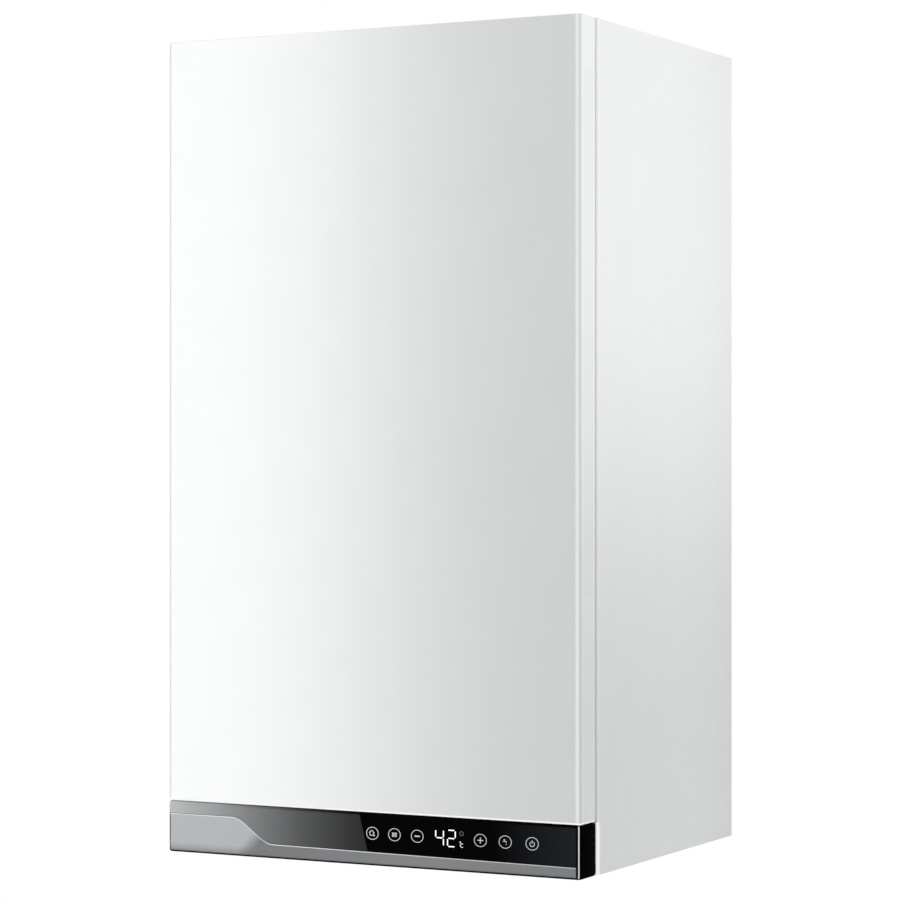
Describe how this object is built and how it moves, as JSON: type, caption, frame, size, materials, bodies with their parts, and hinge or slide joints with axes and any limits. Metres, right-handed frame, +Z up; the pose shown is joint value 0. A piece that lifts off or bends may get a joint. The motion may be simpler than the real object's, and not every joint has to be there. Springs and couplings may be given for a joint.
{
  "type": "wall-hung boiler",
  "caption": "Wall-hung gas boiler: white sheet casing with pull-off front cover, black drop-down touch panel with silver trim, and full works inside.",
  "frame": {"origin": "middle of the wall bracket's back face, on the wall plane, 675 mm above the casing's lower edge", "axes": "+Z up, +Y into the wall, front towards -Y, +X to the right seen from the front"},
  "size_m": [0.404, 0.332, 0.73],
  "materials": {
    "white_enamel": "semi-gloss white powder coat",
    "zinc_sheet": "zinc-plated sheet",
    "steel": "bare steel",
    "red_steel": "red stoved paint",
    "cast_metal": "as cast",
    "brass": "machined brass",
    "copper": "drawn copper",
    "black_plastic": "moulded black",
    "black_gloss": "black printed glass-clear cover",
    "silver_plastic": "satin silver",
    "grey_plastic": "moulded grey",
    "white_plastic": "moulded white",
    "red_plastic": "moulded red",
    "ceramic": "fired ceramic",
    "ceramic_fibre": "pressed ceramic fibre",
    "foam": "closed-cell foam",
    "board": "printed circuit board"
  },
  "bodies": {
    "casing": {"wall_bracket": "zinc_sheet", "rear_frame": "zinc_sheet", "side_panel_left": "white_enamel", "side_panel_right": "white_enamel", "top_panel": "white_enamel", "bottom_plate": "zinc_sheet", "front_crossbar": "zinc_sheet", "hinge_bracket_left": "zinc_sheet", "hinge_bracket_right": "zinc_sheet", "cover_clip_upper_left": "grey_plastic", "cover_clip_upper_right": "grey_plastic", "cover_clip_lower_left": "grey_plastic", "cover_clip_lower_right": "grey_plastic", "flue_collar": "white_enamel", "fan_housing": "zinc_sheet", "fan_motor": "steel", "flue_hood": "zinc_sheet", "air_pressure_switch": "black_plastic", "heat_exchanger": "copper", "combustion_chamber": "steel", "chamber_insulation": "ceramic_fibre", "chamber_front_plate": "steel", "ignition_electrode": "ceramic", "burner": "steel", "gas_manifold": "steel", "gas_pipe": "steel", "gas_valve": "cast_metal", "gas_tail": "brass", "expansion_vessel": "red_steel", "vessel_hose": "black_plastic", "flow_tail": "brass", "hot_water_tail": "brass", "cold_water_tail": "brass", "return_tail": "brass", "flow_block": "brass", "return_block": "brass", "diverter_motor": "white_plastic", "plate_exchanger": "steel", "pump_body": "cast_metal", "pump_motor": "cast_metal", "air_vent": "brass", "return_pipe": "copper", "flow_pipe": "copper", "pressure_gauge": "black_plastic", "cable_gland": "black_plastic", "control_box": "grey_plastic", "control_box_lid": "grey_plastic", "main_board": "board"},
    "front_cover": {"front_cover": "white_enamel", "cover_gasket": "foam"},
    "control_panel": {"panel_housing": "black_plastic", "glass_panel": "black_gloss", "silver_trim": "silver_plastic", "display_board": "board"},
    "fan_rotor": {"fan_rotor": "zinc_sheet"},
    "pump_impeller": {"pump_impeller": "black_plastic"},
    "diverter_stem": {"diverter_stem": "steel"},
    "filling_knob": {"filling_knob": "black_plastic"},
    "safety_valve_knob": {"safety_valve_knob": "red_plastic"},
    "gauge_needle": {"gauge_needle": "red_plastic"}
  },
  "joints": [
    {"name": "cover_pull", "type": "slide", "parent": "casing", "child": "front_cover", "axis": [0, -1, 0], "range_m": [0, 0.25]},
    {"name": "panel_drop", "type": "hinge", "parent": "casing", "child": "control_panel", "pos_m": [0, -0.306, -0.671], "axis": [1, 0, 0], "range_deg": [0, 90]},
    {"name": "fan_spin", "type": "hinge", "parent": "casing", "child": "fan_rotor", "pos_m": [-0.05, -0.1858, -0.05], "axis": [0, 1, 0], "continuous": true},
    {"name": "pump_spin", "type": "hinge", "parent": "casing", "child": "pump_impeller", "pos_m": [0.122, -0.09, -0.497], "axis": [0, 1, 0], "continuous": true},
    {"name": "diverter_lift", "type": "slide", "parent": "casing", "child": "diverter_stem", "axis": [0, 0, 1], "range_m": [0, 0.008]},
    {"name": "filling_turn", "type": "hinge", "parent": "casing", "child": "filling_knob", "pos_m": [0.0975, -0.09, -0.658], "axis": [0, 0, 1], "range_deg": [0, 270]},
    {"name": "safety_turn", "type": "hinge", "parent": "casing", "child": "safety_valve_knob", "pos_m": [0.1098, -0.142, -0.597], "axis": [0, -1, 0], "range_deg": [0, 90]},
    {"name": "needle_swing", "type": "hinge", "parent": "casing", "child": "gauge_needle", "pos_m": [-0.15, -0.2, -0.639], "axis": [0, 0, 1], "range_deg": [0, 270]}
  ]
}
